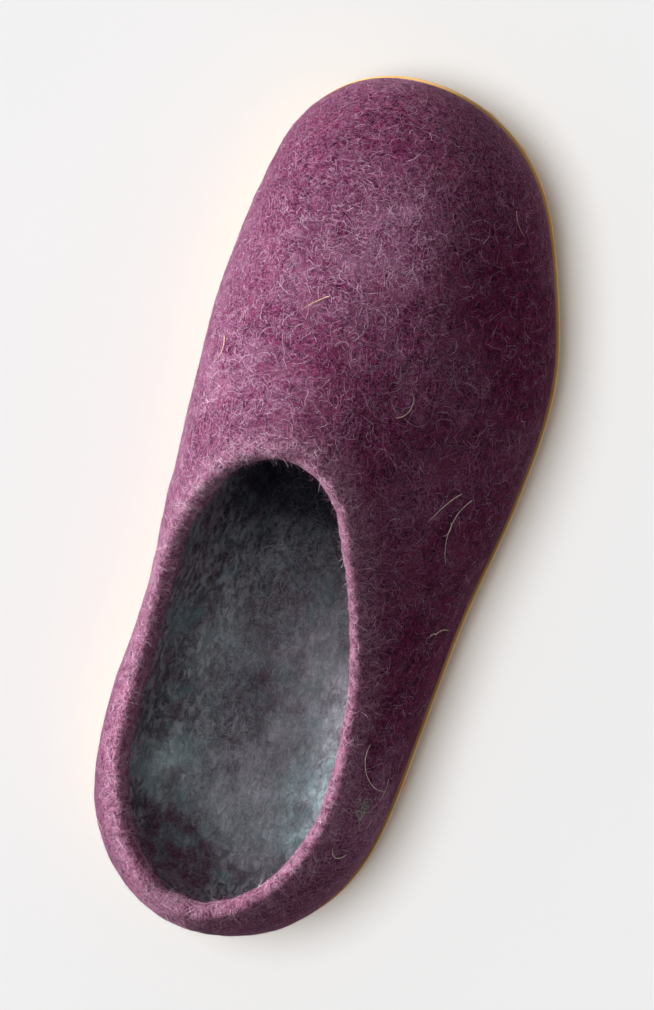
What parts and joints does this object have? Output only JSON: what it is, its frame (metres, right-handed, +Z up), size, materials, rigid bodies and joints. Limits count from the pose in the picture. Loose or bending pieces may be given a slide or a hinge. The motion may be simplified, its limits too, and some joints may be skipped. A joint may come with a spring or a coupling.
{
  "type": "felt slipper",
  "caption": "Backed felt clog slipper for the right foot: thick one-piece felt upper with a rounded collar, on a cupped rubber sole with a diamond tread.",
  "frame": {"origin": "middle of the slipper's footprint, on the floor it stands on", "axes": "+X to the toe, +Y to the inner (big toe) side of the foot, +Z up"},
  "size_m": [0.262, 0.1038, 0.0755],
  "materials": {
    "honey_rubber": "matt, moulded",
    "pale_rubber": "matt",
    "plum_felt": "heathered wool felt",
    "grey_felt": "heathered wool felt"
  },
  "bodies": {
    "root": {"outsole": "honey_rubber", "midsole": "pale_rubber", "felt_upper": "plum_felt", "felt_insole": "grey_felt"}
  },
  "joints": []
}
